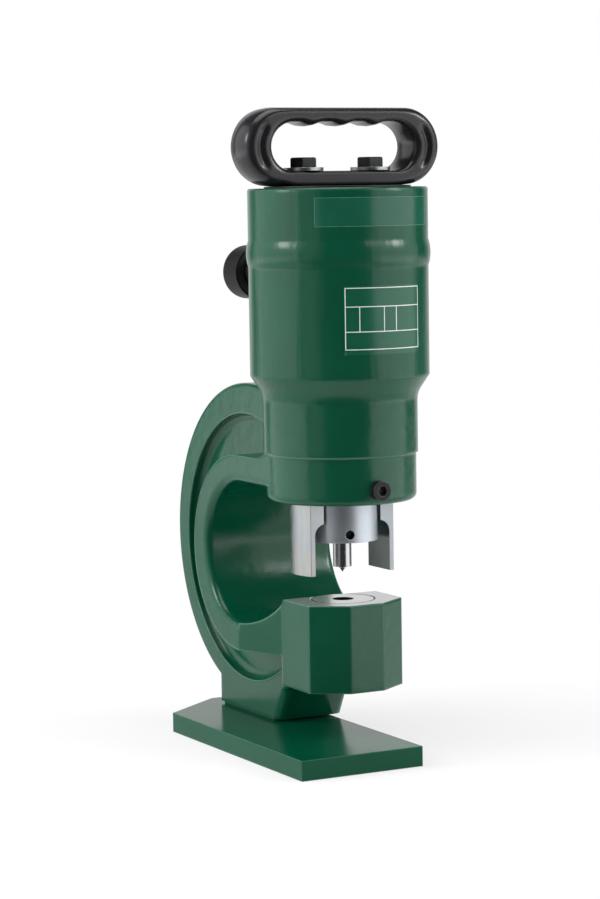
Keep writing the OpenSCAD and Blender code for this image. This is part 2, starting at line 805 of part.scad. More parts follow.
module stripper_screw() {
  point_d = clamp_screw_d * point_share;
  color(black) translate([0, 0, z_screw]) rotate([90, 0, 0]) {
    translate([0, 0, head_low_r])
      socket_head(clamp_screw_d * low_head_share, clamp_screw_d * low_head_h_share,
                  clamp_screw_d * key_share);
    translate([0, 0, stripper_r + slip]) cylinder(d = clamp_screw_d, h = head_low_r - stripper_r);
    translate([0, 0, stripper_r - screw_point + slip]) cylinder(d = point_d, h = 2 * screw_point);
  }
}

die_rim = 1.5;
die_relief = 1;
die_chamfer = 0.6;

module die() {
  color(steel) difference() {
    translate([0, 0, z_die - die_h]) rotate_extrude() polygon([
      [0, 0], [die_d / 2, 0], [die_d / 2, die_h - die_chamfer],
      [die_d / 2 - die_chamfer, die_h], [0, die_h]]);
    translate([0, 0, z_die - die_h - over]) cylinder(d = die_hole_d, h = die_h + 2 * over);
    translate([0, 0, z_die - die_h - over])
      cylinder(d = die_hole_d + 2 * die_relief, h = die_h / 2 + over);
  }
}

set_screw_d = 8;

module die_set_screw() {
  tip = die_d / 2 + slip;
  l = block_w / 2 - tip - die_rim;
  color(black) translate([tip, 0, z_die - die_h / 2]) rotate([0, 90, 0])
    socket_head(set_screw_d, l, set_screw_d / 2);
}

seal_washer_t = 2;
hex_l = 9;
hex_y = spot_y + seal_washer_t;
nipple_end = neck_reach + nipple_l;
chamber_r = chamber_d / 2;
seat_r = seat_d / 2;
seat_l = 4;
poppet_l = 10;
valve_spring_l = 20;
valve_wire_d = 1.4;
valve_turns = 6.5;
poppet_y = nipple_end - seat_l - poppet_l;
chamber_y = poppet_y - valve_spring_l;

module coupler_body() {
  color(zinc) axis_y(0, z_port) difference() {
    union() {
      translate([0, 0, port_y + slip]) cylinder(r = port_r, h = hex_y - port_y + over);
      translate([0, 0, hex_y]) cylinder(r = spot_r - slip, h = hex_l, $fn = 6);
      translate([0, 0, hex_y]) cylinder(r = neck_r, h = neck_reach - hex_y + over);
      translate([0, 0, neck_reach]) cylinder(r = nipple_r, h = nipple_l);
    }
    translate([0, 0, port_y - over]) cylinder(r = seat_r, h = nipple_end - port_y + 2 * over);
    translate([0, 0, chamber_y]) cylinder(r = chamber_r, h = nipple_end - seat_l - chamber_y);
  }
}

module coupler_washer() {
  color(bronze) axis_y(spot_y, z_port) ring(spot_r - soft_gap, port_r + slip, seal_washer_t);
}

module coupler_poppet() {
  color(steel) axis_y(poppet_y, z_port) {
    cylinder(r = chamber_r - run_fit, h = poppet_l - slip);
    cylinder(r = seat_r - run_fit, h = poppet_l + seat_l);
  }
}

module coupler_spring() {
  color(steel) axis_y(chamber_y + slip, z_port)
    coil(chamber_r - valve_wire_d, valve_wire_d / 2, valve_spring_l - 2 * slip, valve_turns);
}

module dust_cap() {
  inner_l = nipple_l + dust_cap_lap + soft_gap;
  length = inner_l + dust_cap_end_t;
  edge = dust_cap_end_t;
  color(black) axis_y(neck_reach - dust_cap_lap, z_port) difference() {
    rotate_extrude() {
      square([dust_cap_r, length - edge]);
      square([dust_cap_r - edge, length]);
      intersection() {
        translate([dust_cap_r - edge, length - edge]) circle(edge);
        square([dust_cap_r, length]);
      }
    }
    translate([0, 0, -over]) cylinder(r = nipple_r + soft_gap, h = inner_l + over);
  }
}

c_frame();
base_plate();
base_screws();
cylinder_barrel();
cylinder_cap();
cap_o_ring();
carry_handle();
handle_bolts();
handle_washers();
ram();
piston_seal();
piston_wear_ring();
guide_bush();
rod_wiper();
spring_seat();
return_spring();
punch();
punch_nut();
stripper();
stripper_screw();
die();
die_set_screw();
coupler_body();
coupler_washer();
coupler_poppet();
coupler_spring();
dust_cap();
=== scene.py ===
import math

import bmesh
import bpy
from mathutils import Matrix, Vector


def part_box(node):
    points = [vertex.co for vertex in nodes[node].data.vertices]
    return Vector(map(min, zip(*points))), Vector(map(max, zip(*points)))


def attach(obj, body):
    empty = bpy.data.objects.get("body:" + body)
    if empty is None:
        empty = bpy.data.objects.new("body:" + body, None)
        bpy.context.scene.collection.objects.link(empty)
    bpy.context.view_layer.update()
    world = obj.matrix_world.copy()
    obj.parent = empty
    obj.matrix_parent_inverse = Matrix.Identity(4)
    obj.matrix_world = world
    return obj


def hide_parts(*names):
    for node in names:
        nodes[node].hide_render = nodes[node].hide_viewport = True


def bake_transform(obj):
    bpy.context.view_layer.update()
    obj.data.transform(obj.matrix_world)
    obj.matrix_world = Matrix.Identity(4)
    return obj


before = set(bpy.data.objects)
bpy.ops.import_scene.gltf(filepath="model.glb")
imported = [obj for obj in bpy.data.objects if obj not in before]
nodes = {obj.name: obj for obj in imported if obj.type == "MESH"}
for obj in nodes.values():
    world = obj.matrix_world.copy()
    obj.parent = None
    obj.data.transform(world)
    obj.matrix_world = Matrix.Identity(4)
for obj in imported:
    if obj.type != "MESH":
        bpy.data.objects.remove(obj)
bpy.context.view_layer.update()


# C-frame: one steel casting with its rim, web, throat flange, die block and head.
# It is shot-blasted and sprayed with thick green enamel; only the top of the die block is
# ground bare, so that the die and the work lie flat on it.
def linear(hex_colour):
    """An sRGB hex colour as the linear RGBA that a shader takes."""
    parts = [int(hex_colour[i : i + 2], 16) / 255 for i in (1, 3, 5)]
    return [c / 12.92 if c <= 0.04045 else ((c + 0.055) / 1.055) ** 2.4 for c in parts] + [1]


def put(tree, kind, inputs=None, **settings):
    """Adds a node: settings are its own, and an input is a value or the socket it comes from."""
    new = tree.nodes.new(kind)
    for name, value in settings.items():
        setattr(new, name, value)
    for name, value in (inputs or {}).items():
        if isinstance(value, bpy.types.NodeSocket):
            tree.links.new(value, new.inputs[name])
        else:
            new.inputs[name].default_value = value
    return new


def blank(name):
    """A new material with an empty tree, its output's socket, and its object's own coordinates."""
    material = bpy.data.materials.new(name)
    material.use_nodes = True
    tree = material.node_tree
    tree.nodes.clear()
    out = put(tree, "ShaderNodeOutputMaterial")
    place = put(tree, "ShaderNodeTexCoord").outputs["Object"]
    return material, tree, out.inputs["Surface"], place


def wear(material, *names):
    """Gives CAD nodes a material."""
    for name in names:
        nodes[name].data.materials.clear()
        nodes[name].data.materials.append(material)


def mottle(tree, place, patch, detail, dark, light):
    """Two colours in patches of about that width: gives the pattern, from 0 to 1, and the colour.

    The patch is 1 where the place was already scaled to the pattern.
    """
    noise = put(tree, "ShaderNodeTexNoise", {"Vector": place, "Scale": 1 / patch, "Detail": detail})
    pattern = noise.outputs["Fac"]
    ends = {"Factor": pattern, 6: linear(dark), 7: linear(light)}
    return pattern, put(tree, "ShaderNodeMix", ends, data_type="RGBA").outputs[2]


def relief(tree, place, patch, detail, depth, normal=None):
    """Lumps of about that width and depth: gives the pattern, from 0 to 1, and the new normal.

    The patch is 1 where the place was already scaled to the pattern.
    """
    noise = put(tree, "ShaderNodeTexNoise", {"Vector": place, "Scale": 1 / patch, "Detail": detail})
    pattern = noise.outputs["Fac"]
    inputs = {"Height": pattern, "Strength": 1.0, "Distance": depth}
    if normal is not None:
        inputs["Normal"] = normal
    return pattern, put(tree, "ShaderNodeBump", inputs).outputs["Normal"]


def at_edges(tree, rounded, starts, full, most):
    """A share that is 0 on flat faces and rises to most on edges.

    Starts and full are cosines of the angle between the rounded normal and the flat one.
    """
    flat = put(tree, "ShaderNodeNewGeometry").outputs["Normal"]
    bend = put(tree, "ShaderNodeVectorMath", {0: rounded, 1: flat}, operation="DOT_PRODUCT")
    span = {"From Min": starts, "From Max": full, "To Min": 0.0, "To Max": most}
    edge = put(tree, "ShaderNodeMapRange", {"Value": bend.outputs["Value"], **span})
    return edge.outputs["Result"]


def enamel(tree, place, patch, rounded, full, most):
    """The paint's colour: two greens in wide patches, paler on edges as a painted highlight."""
    green = mottle(tree, place, patch, 3.0, "#00422b", "#034e38")[1]
    edge = at_edges(tree, rounded, 0.98, full, most)
    # Edges are mixed towards pale green: a painted highlight.
    edge_highlight = {"Factor": edge, 6: green, 7: linear("#6fa58f")}
    return put(tree, "ShaderNodeMix", edge_highlight, data_type="RGBA").outputs[2]


def painted_edges(tree, height, radius, samples):
    """A normal rounded at edges, apart from the joint with the barrel, which the paint bridges."""
    seam = put(tree, "ShaderNodeMath", {0: height, 1: seat_z, 2: bridged}, operation="COMPARE")
    span = {"To Min": radius, "To Max": 0.0}
    reach = put(tree, "ShaderNodeMapRange", {"Value": seam.outputs["Value"], **span})
    bevel = put(tree, "ShaderNodeBevel", {"Radius": reach.outputs["Result"]}, samples=samples)
    return bevel.outputs["Normal"]


def grinding(tree, place, turn_deg, dark, light):
    """The colour of ground steel, with marks at an angle."""
    scale = (1 / mark_w, 1 / mark_l, 1 / mark_l)
    turn = (0, 0, math.radians(turn_deg))
    along = put(tree, "ShaderNodeMapping", {"Vector": place, "Scale": scale, "Rotation": turn})
    return mottle(tree, along.outputs["Vector"], 1, 3.0, dark, light)[1]


mm = 0.001
seat_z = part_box("cylinder_barrel")[0].z
bridged = 3 * mm
die_top_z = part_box("die")[1].z
ground_depth = 0.25 * mm
# Grinding marks are finer than this; they are drawn 0.5 mm apart to show.
mark_w, mark_l = 0.5 * mm, 25 * mm

cast_enamel, tree, surface, place = blank("Green enamel on cast steel")
height = put(tree, "ShaderNodeSeparateXYZ", {"Vector": place}).outputs["Z"]
rounded = painted_edges(tree, height, radius=2.4 * mm, samples=12)
paint = enamel(tree, place, patch=40 * mm, rounded=rounded, full=0.8, most=0.42)
# The casting shows through the paint as soft lumps, under a fine orange peel.
cast = relief(tree, place, patch=9 * mm, detail=2.0, depth=0.22 * mm, normal=rounded)[1]
skin = relief(tree, place, patch=1.2 * mm, detail=1.0, depth=0.012 * mm, normal=cast)[1]
# The top of the die block is the one face at that height that looks up.
level = put(tree, "ShaderNodeMath", {0: height, 1: die_top_z, 2: ground_depth}, operation="COMPARE")
flat = put(tree, "ShaderNodeNewGeometry").outputs["Normal"]
facing = put(tree, "ShaderNodeSeparateXYZ", {"Vector": flat}).outputs["Z"]
top = put(tree, "ShaderNodeMath", {0: facing, 1: 0.9}, operation="GREATER_THAN")
both = {0: level.outputs["Value"], 1: top.outputs["Value"]}
bare = put(tree, "ShaderNodeMath", both, operation="MULTIPLY").outputs["Value"]
steel = grinding(tree, place, 20, "#c9cacb", "#e6e6e6")
colour = put(tree, "ShaderNodeMix", {"Factor": bare, 6: paint, 7: steel}, data_type="RGBA")
gloss = put(tree, "ShaderNodeMix", {"Factor": bare, 2: 0.2, 3: 0.26}, data_type="FLOAT")
metal = put(tree, "ShaderNodeMath", {0: bare, 1: 0.8}, operation="MULTIPLY")
look = {
    "Base Color": colour.outputs[2],
    "Metallic": metal.outputs["Value"],
    "Roughness": gloss.outputs[0],
    "IOR": 1.5,
    "Normal": skin,
}
shader = put(tree, "ShaderNodeBsdfPrincipled", look)
tree.links.new(shader.outputs["BSDF"], surface)
wear(cast_enamel, "c_frame")

# Base plate: a flame-cut steel plate with one cut corner, screwed up into the foot from below
# and sprayed together with the frame. Rolled plate is flatter than the casting.
plate_enamel, tree, surface, place = blank("Green enamel on rolled plate")
rounded = put(tree, "ShaderNodeBevel", {"Radius": 1.0 * mm}, samples=6).outputs["Normal"]
paint = enamel(tree, place, patch=55 * mm, rounded=rounded, full=0.8, most=0.42)
rolled = relief(tree, place, patch=18 * mm, detail=1.0, depth=0.05 * mm, normal=rounded)[1]
skin = relief(tree, place, patch=1.4 * mm, detail=1.0, depth=0.003 * mm, normal=rolled)[1]
look = {"Base Color": paint, "Roughness": 0.17, "Specular IOR Level": 0.22, "IOR": 1.5, "Normal": skin}
shader = put(tree, "ShaderNodeBsdfPrincipled", look)
tree.links.new(shader.outputs["BSDF"], surface)
wear(plate_enamel, "base_plate")

# Cylinder barrel: a turned steel tube with a tapered foot, a raised band and a port at the back.
# It is screwed on the head and sprayed with the same enamel, which runs a little as it dries.
turned_enamel, tree, surface, place = blank("Green enamel on turned steel")
height = put(tree, "ShaderNodeSeparateXYZ", {"Vector": place}).outputs["Z"]
rounded = painted_edges(tree, height, radius=3 * mm, samples=8)
paint = enamel(tree, place, patch=45 * mm, rounded=rounded, full=0.85, most=0.2)
# Runs go down the wall and are many times as long as they are wide.
run_w, run_l = 7 * mm, 60 * mm
down = put(tree, "ShaderNodeMapping", {"Vector": place, "Scale": (1 / run_w, 1 / run_w, 1 / run_l)})
sagged = relief(tree, down.outputs["Vector"], patch=1, detail=2.0, depth=0.3 * mm, normal=rounded)[1]
skin = relief(tree, place, patch=1.4 * mm, detail=1.0, depth=0.008 * mm, normal=sagged)[1]
look = {"Base Color": paint, "Roughness": 0.22, "IOR": 1.5, "Normal": skin}
shader = put(tree, "ShaderNodeBsdfPrincipled", look)
tree.links.new(shader.outputs["BSDF"], surface)
wear(turned_enamel, "cylinder_barrel")

# Labels: a clear film round the top of the barrel and a printed sticker with empty boxes.
# Both are thin polyester, stuck on the paint; the sticker's lower left corner has lifted.
band_t = 1.3 * mm
barrel_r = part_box("cylinder_barrel")[1].x - band_t
film_t, glue_t = 0.06 * mm, 0.02 * mm


def around_deg(point):
    """The angle of a point round the barrel, in degrees."""
    return math.degrees(math.atan2(point.y, point.x))


def barrel_patch(start_deg, end_deg, heights, steps):
    """A sheet on the barrel between two angles, with an edge at each of the heights."""
    bm = bmesh.new()
    r, start = barrel_r + glue_t, math.radians(start_deg)
    column = [bm.verts.new((r * math.cos(start), r * math.sin(start), z)) for z in heights]
    edges = [bm.edges.new(pair) for pair in zip(column, column[1:])]
    bmesh.ops.spin(
        bm,
        geom=column + edges,
        axis=(0, 0, 1),
        cent=(0, 0, 0),
        angle=math.radians(end_deg - start_deg),
        steps=steps,
        use_merge=False,
        use_duplicate=False,
    )
    bmesh.ops.recalc_face_normals(bm, faces=bm.faces[:])
    if sum(face.normal.dot(face.calc_center_median() * Vector((1, 1, 0))) for face in bm.faces) < 0:
        bmesh.ops.reverse_faces(bm, faces=bm.faces[:])
    return bm


def make_piece(bm, name, sharp_deg, *materials):
    """Makes an object of a mesh, smooth but for the edges that bend more than an angle."""
    mesh = bpy.data.meshes.new(name)
    bm.to_mesh(mesh)
    bm.free()
    mesh.shade_smooth()
    mesh.set_sharp_from_angle(angle=math.radians(sharp_deg))
    for material in materials:
        mesh.materials.append(material)
    piece = bpy.data.objects.new(name, mesh)
    bpy.context.scene.collection.objects.link(piece)
    return piece


def stick_on(bm, name, *materials):
    """Gives a sheet its thickness and makes it a piece on the frame."""
    bmesh.ops.solidify(bm, geom=bm.faces[:], thickness=film_t)
    sheet = make_piece(bm, name, 30, *materials)
    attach(sheet, "frame")


clear_film, tree, surface, place = blank("Clear polyester film on enamel")
# Air and glue under the film make it milky in patches, and it lies a little wavy.
colour = mottle(tree, place, patch=12 * mm, detail=2.0, dark="#0a4c37", light="#175a47")[1]
wavy = relief(tree, place, patch=5 * mm, detail=1.0, depth=0.008 * mm)[1]
look = {"Base Color": colour, "Roughness": 0.2, "IOR": 1.58, "Normal": wavy}
shader = put(tree, "ShaderNodeBsdfPrincipled", look)
tree.links.new(shader.outputs["BSDF"], surface)

# The film's edges are paler in patches: a painted highlight, where the edges catch the light.
film_edge_highlight, tree, surface, place = blank("Film edge with a painted highlight")
colour = mottle(tree, place, patch=3 * mm, detail=3.0, dark="#145440", light="#4f8874")[1]
shader = put(tree, "ShaderNodeBsdfPrincipled", {"Base Color": colour, "Roughness": 0.5, "IOR": 1.5})
tree.links.new(shader.outputs["BSDF"], surface)

film_low, film_high = 318.4 * mm, 335.4 * mm
film_left, film_right, film_steps = -133.5, -46, 235
# The width of the painted highlight along each edge of the film.
film_edge_w = 0.35 * mm
clear_low, clear_high = film_low + film_edge_w, film_high - film_edge_w
turn = (film_right - film_left) / film_steps
bm = barrel_patch(film_left, film_right, [film_low, clear_low, clear_high, film_high], film_steps)
for face in bm.faces:
    centre = face.calc_center_median()
    clear = film_left + turn < around_deg(centre) < film_right - turn and clear_low < centre.z < clear_high
    face.material_index = int(not clear)
stick_on(bm, "label_film", clear_film, film_edge_highlight)

sticker_print, tree, surface, place = blank("Green print on polyester")
colour = mottle(tree, place, patch=15 * mm, detail=2.0, dark="#064c35", light="#125a44")[1]
wavy = relief(tree, place, patch=6 * mm, detail=1.0, depth=0.008 * mm)[1]
look = {"Base Color": colour, "Roughness": 0.22, "IOR": 1.58, "Normal": wavy}
shader = put(tree, "ShaderNodeBsdfPrincipled", look)
tree.links.new(shader.outputs["BSDF"], surface)

white_line, tree, surface, place = blank("White screen print")
colour = mottle(tree, place, patch=2 * mm, detail=2.0, dark="#c4d2cb", light="#eef3f0")[1]
shader = put(tree, "ShaderNodeBsdfPrincipled", {"Base Color": colour, "Roughness": 0.35, "IOR": 1.5})
tree.links.new(shader.outputs["BSDF"], surface)

sticker_low, sticker_high = 243.9 * mm, 284.0 * mm
sticker_left, sticker_right = -115.8, -59.0
line = 0.5 * mm
rows = [283.0 * mm, 272.1 * mm, 257.5 * mm, 247.2 * mm]
columns = [-106.2, -89.5, -80.6]
# The sheet's faces are as wide as a line, so that a line is one column of faces.
steps = round((sticker_right - sticker_left) / math.degrees(line / barrel_r))
turn = (sticker_right - sticker_left) / steps
sides = [sticker_left + 1.5 * turn, sticker_right - 1.5 * turn]
heights = [sticker_low] + sorted([z - line for z in rows] + rows) + [sticker_high]
bm = barrel_patch(sticker_left, sticker_right, heights, steps)
for face in bm.faces:
    centre = face.calc_center_median()
    angle = around_deg(centre)
    within = sticker_left + turn < angle < sticker_right - turn and rows[3] - line < centre.z < rows[0]
    on_row = any(z - line < centre.z < z for z in rows)
    on_side = any(abs(angle - side) < turn / 2 for side in sides)
    on_column = rows[2] < centre.z < rows[1] and any(abs(angle - c) < turn / 2 for c in columns)
    face.material_index = int(within and (on_row or on_side or on_column))
curl, curl_lift = 5 * mm, 1.2 * mm
for v in bm.verts:
    from_left = math.radians(around_deg(v.co) - sticker_left) * barrel_r
    from_low = v.co.z - sticker_low
    lift = curl_lift * max(0, 1 - (from_left + from_low) / curl) ** 2
    v.co += Vector((v.co.x, v.co.y, 0)).normalized() * lift
stick_on(bm, "label_sticker", sticker_print, white_line)

# Carrying handle: one moulding of glass-filled nylon with finger rests, bolted on the plug.
# All its edges are rounded for the hand, and a shallow groove follows the curve of each end.
# It comes out of the mould nearly glossy, with a fine sink and flow pattern.
nylon, tree, surface, place = blank("Black moulded nylon")
flow, colour = mottle(tree, place, patch=14 * mm, detail=3.0, dark="#161618", light="#212125")
sunk = put(tree, "ShaderNodeBump", {"Height": flow, "Strength": 1.0, "Distance": 0.15 * mm})
grain, skin = relief(tree, place, 0.9 * mm, 2.0, depth=0.004 * mm, normal=sunk.outputs["Normal"])
rough = put(tree, "ShaderNodeMapRange", {"Value": grain, "To Min": 0.2, "To Max": 0.3})
look = {"Base Color": colour, "Roughness": rough.outputs["Result"], "IOR": 1.53, "Normal": skin}
shader = put(tree, "ShaderNodeBsdfPrincipled", look)
tree.links.new(shader.outputs["BSDF"], surface)
wear(nylon, "carry_handle")

grip_low, grip_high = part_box("carry_handle")
grip_t = grip_high.y - grip_low.y
grip_mid = (grip_low + grip_high) / 2
outer_r = (grip_high.z - grip_low.z) / 2
outer_x = (grip_high.x - grip_low.x) / 2 - outer_r
base_t, grip_top_t, end_t = 9 * mm, 9.2 * mm, 19.5 * mm
inner_r = outer_r - (base_t + grip_top_t) / 2
inner_x = outer_x + outer_r - end_t - inner_r
inner_z = grip_mid.z + (base_t - grip_top_t) / 2
rest_pitch, rest_depth = 21.3 * mm, 2.0 * mm
groove_depth, groove_w = 1.7 * mm, 2.2 * mm
groove_ends_deg, groove_full_deg = 62, 38
# A section's power is 2 for an ellipse and more for a squarer block. The base is the squarest.
grip_power, base_power_more = 3.4, 4
base_from, base_to, base_fades = 8 * mm, 14 * mm, 14 * mm
loop_steps, straight_cuts, wall_cuts = 96, 79, 23
rounding = 0.02


def slot_distance(x, z, half_straight, centre_z):
    """How far a point is from the middle line of a slot with round ends."""
    return math.hypot(max(0, abs(x) - half_straight), z - centre_z)


def ramp(value, low, high):
    """A smooth step from 0 at low to 1 at high."""
    share = min(1, max(0, (value - low) / (high - low)))
    return share * share * (3 - 2 * share)


bm = bmesh.new()
stand_up = Matrix.Rotation(math.pi / 2, 4, "X") @ Matrix.Rotation(math.pi / loop_steps, 4, "Z")
for r, half_straight, centre_z in ((outer_r, outer_x, grip_mid.z), (inner_r, inner_x, inner_z)):
    loop = bmesh.ops.create_circle(bm, segments=loop_steps, radius=r, matrix=stand_up)["verts"]
    for v in loop:
        v.co += Vector((math.copysign(half_straight, v.co.x), grip_mid.y, centre_z))
bmesh.ops.bridge_loops(bm, edges=bm.edges[:])
straight = [e for e in bm.edges if e.verts[0].co.x * e.verts[1].co.x < 0]
bmesh.ops.subdivide_edges(bm, edges=straight, cuts=straight_cuts, use_grid_fill=True)
across_wall = []
for e in bm.edges:
    reach = [slot_distance(v.co.x, v.co.z, outer_x, grip_mid.z) for v in e.verts]
    if abs(reach[0] - reach[1]) > base_t / 2:
        across_wall.append(e)
bmesh.ops.subdivide_edges(bm, edges=across_wall, cuts=wall_cuts, use_grid_fill=True)
front_half = bm.verts[:]
copied = bmesh.ops.duplicate(bm, geom=bm.verts[:] + bm.edges[:] + bm.faces[:])["geom"]
rear_half = [v for v in copied if isinstance(v, bmesh.types.BMVert)]
for verts, side in ((front_half, -1), (rear_half, 1)):
    for v in verts:
        x, z = v.co.x, v.co.z
        from_outside = outer_r - slot_distance(x, z, outer_x, grip_mid.z)
        from_inside = slot_distance(x, z, inner_x, inner_z) - inner_r
        wide = from_outside + from_inside
        share = from_outside / wide
        # The front and back halves meet exactly where the share is 0 or 1.
        share = 0 if share < rounding else 1 if share > 1 - rounding else share
        along_base = ramp(grip_mid.z - z, base_from, base_to) * ramp(abs(x), outer_x, outer_x - base_fades)
        power = grip_power + base_power_more * along_base
        depth = grip_t / 2 * (1 - abs(2 * share - 1) ** power) ** (1 / power)
        turn_up = math.degrees(abs(math.atan2(z - grip_mid.z, abs(x) - outer_x)))
        groove = math.exp(-(((share - 0.5) * wide / groove_w) ** 2))
        groove *= ramp(turn_up, groove_ends_deg, groove_full_deg)
        v.co.y += side * (depth - groove * groove_depth)
        if z > inner_z and abs(x) < 1.5 * rest_pitch:
            wave = 0.5 + 0.5 * math.cos(2 * math.pi * x / rest_pitch)
            v.co.z -= rest_depth * share**2 * wave**2
bmesh.ops.remove_doubles(bm, verts=bm.verts[:], dist=0.01 * mm)
bmesh.ops.recalc_face_normals(bm, faces=bm.faces[:])
handle = make_piece(bm, "handle_moulding", 180, nylon)
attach(handle, "frame")
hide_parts("carry_handle")

# Bolts, screws and the plug: alloy steel with a black oxide finish, slightly oily.
# The finish is thin, so that edges and corners show a little of the grey steel.
black_oxide, tree, surface, place = blank("Black oxide on steel")
oil, colour = mottle(tree, place, patch=4 * mm, detail=3.0, dark="#0f0f10", light="#222224")
rounded = put(tree, "ShaderNodeBevel", {"Radius": 0.8 * mm}, samples=6).outputs["Normal"]
edge = at_edges(tree, rounded, starts=1.0, full=0.75, most=0.8)
worn = put(tree, "ShaderNodeMix", {"Factor": edge, 6: colour, 7: linear("#77787a")}, data_type="RGBA")
skin = relief(tree, place, patch=0.7 * mm, detail=2.0, depth=0.012 * mm, normal=rounded)[1]
rough = put(tree, "ShaderNodeMapRange", {"Value": oil, "To Min": 0.28, "To Max": 0.5})
look = {
    "Base Color": worn.outputs[2],
    "Metallic": 0.35,
    "Roughness": rough.outputs["Result"],
    "Normal": skin,
}
shader = put(tree, "ShaderNodeBsdfPrincipled", look)
tree.links.new(shader.outputs["BSDF"], surface)
wear(black_oxide, "handle_bolts", "base_screws", "stripper_screw", "die_set_screw", "cylinder_cap")

# Handle bolts: two forged hexagon bolts that go through the handle's base into the plug.
# The corners of the heads are turned off at the top.
bolt_low, bolt_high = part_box("handle_bolts")
washer_low, washer_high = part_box("handle_washers")
washer_rim, shank_r, corner = 3.25 * mm, 5 * mm, 1.1 * mm
hex_r = (washer_high.y - washer_low.y) / 2 - washer_rim
head_h, shank_h = bolt_high.z - washer_high.z, washer_high.z - bolt_low.z
head_mid_z, shank_mid_z = washer_high.z + head_h / 2, bolt_low.z + shank_h / 2
bm = bmesh.new()
for bolt_x in (bolt_low.x + hex_r, bolt_high.x - hex_r):
    above = Matrix.Translation((bolt_x, 0, head_mid_z)) @ Matrix.Rotation(math.pi / 6, 4, "Z")
    sizes = {"radius1": hex_r, "radius2": hex_r, "depth": head_h}
    head = bmesh.ops.create_cone(bm, cap_ends=True, segments=6, **sizes, matrix=above)["verts"]
    top = [e for e in bm.edges if all(v in head and v.co.z > head_mid_z for v in e.verts)]
    bmesh.ops.bevel(bm, geom=top, offset=corner, affect="EDGES", segments=3, profile=0.5, material=-1)
    below = Matrix.Translation((bolt_x, 0, shank_mid_z))
    sizes = {"radius1": shank_r, "radius2": shank_r, "depth": shank_h}
    bmesh.ops.create_cone(bm, cap_ends=True, segments=24, **sizes, matrix=below)
bmesh.ops.recalc_face_normals(bm, faces=bm.faces[:])
bolts = make_piece(bm, "hex_bolts", 28, black_oxide)
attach(bolts, "frame")
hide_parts("handle_bolts")


# Stripper: a steel tube milled to two legs that hold the work down as the punch draws back.
# It is plated with bright zinc, which lies over fine turning and milling marks, and so are the
# handle's washers.
def facing_out(tree, place):
    """How far a face looks away from the upright axis: 1 on an outside wall, -1 in a bore."""
    spoke = put(tree, "ShaderNodeVectorMath", {0: place, 1: (1, 1, 0)}, operation="MULTIPLY")
    outward = put(tree, "ShaderNodeVectorMath", {0: spoke.outputs["Vector"]}, operation="NORMALIZE")
    flat = put(tree, "ShaderNodeNewGeometry").outputs["Normal"]
    both = {0: flat, 1: outward.outputs["Vector"]}
    return put(tree, "ShaderNodeVectorMath", both, operation="DOT_PRODUCT").outputs["Value"]


zinc_plate, tree, surface, place = blank("Bright zinc plate")
cloud, pale = mottle(tree, place, patch=8 * mm, detail=3.0, dark="#b0b3b6", light="#cbcccd")
# The clear chromate over the zinc shows faint bands of blue and straw, taller than wide.
chromate_w, chromate_h = 5 * mm, 22 * mm
chromate_scale = (1 / chromate_w, 1 / chromate_w, 1 / chromate_h)
bands = put(tree, "ShaderNodeMapping", {"Vector": place, "Scale": chromate_scale})
film = put(tree, "ShaderNodeTexNoise", {"Vector": bands.outputs["Vector"], "Scale": 1.0, "Detail": 1.0})
hue = put(tree, "ShaderNodeMapRange", {"Value": film.outputs["Fac"], "From Min": 0.38, "From Max": 0.62})
ends = {"Factor": hue.outputs["Result"], 6: linear("#adbfce"), 7: linear("#cbcab6")}
tint = put(tree, "ShaderNodeMix", ends, data_type="RGBA").outputs[2]
bright = put(tree, "ShaderNodeMix", {"Factor": 0.45, 6: pale, 7: tint}, data_type="RGBA").outputs[2]
# The faces towards the axis are painted a darker grey, as shade inside the tube. The milled faces, across
# the axis, are between the two.
out = facing_out(tree, place)
bore_shade = put(tree, "ShaderNodeMapRange", {"Value": out, "From Min": 0.9, "From Max": -0.3})
ends = {"Factor": bore_shade.outputs["Result"], 6: bright, 7: linear("#9a9c9d")}
colour = put(tree, "ShaderNodeMix", ends, data_type="RGBA").outputs[2]
rounded = put(tree, "ShaderNodeBevel", {"Radius": 0.5 * mm}, samples=6).outputs["Normal"]
# Turning marks would be about 0.15 mm apart; they are drawn 0.7 mm apart to show.
ring_l, ring_pitch = 30 * mm, 0.7 * mm
ring_scale = (1 / ring_l, 1 / ring_l, 1 / ring_pitch)
rings = put(tree, "ShaderNodeMapping", {"Vector": place, "Scale": ring_scale}).outputs["Vector"]
skin = relief(tree, rings, patch=1, detail=2.0, depth=0.004 * mm, normal=rounded)[1]
rough = put(tree, "ShaderNodeMapRange", {"Value": cloud, "To Min": 0.26, "To Max": 0.42})
look = {"Base Color": colour, "Metallic": 1.0, "Roughness": rough.outputs["Result"], "Normal": skin}
shader = put(tree, "ShaderNodeBsdfPrincipled", look)
tree.links.new(shader.outputs["BSDF"], surface)
wear(zinc_plate, "stripper", "handle_washers")

# Hose coupler: turned from steel bar and plated, with a hexagon for the spanner and a narrow neck.
# The threaded end, inside the cap's mouth, is painted black as the shade there; the neck stays plated.
plated_with_painted_shade, tree, surface, place = blank("Zinc plate with a thread painted black as shade")
under_cap = 0.5 * mm
thread_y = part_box("dust_cap")[0].y + under_cap
end = put(tree, "ShaderNodeSeparateXYZ", {"Vector": place}).outputs["Y"]
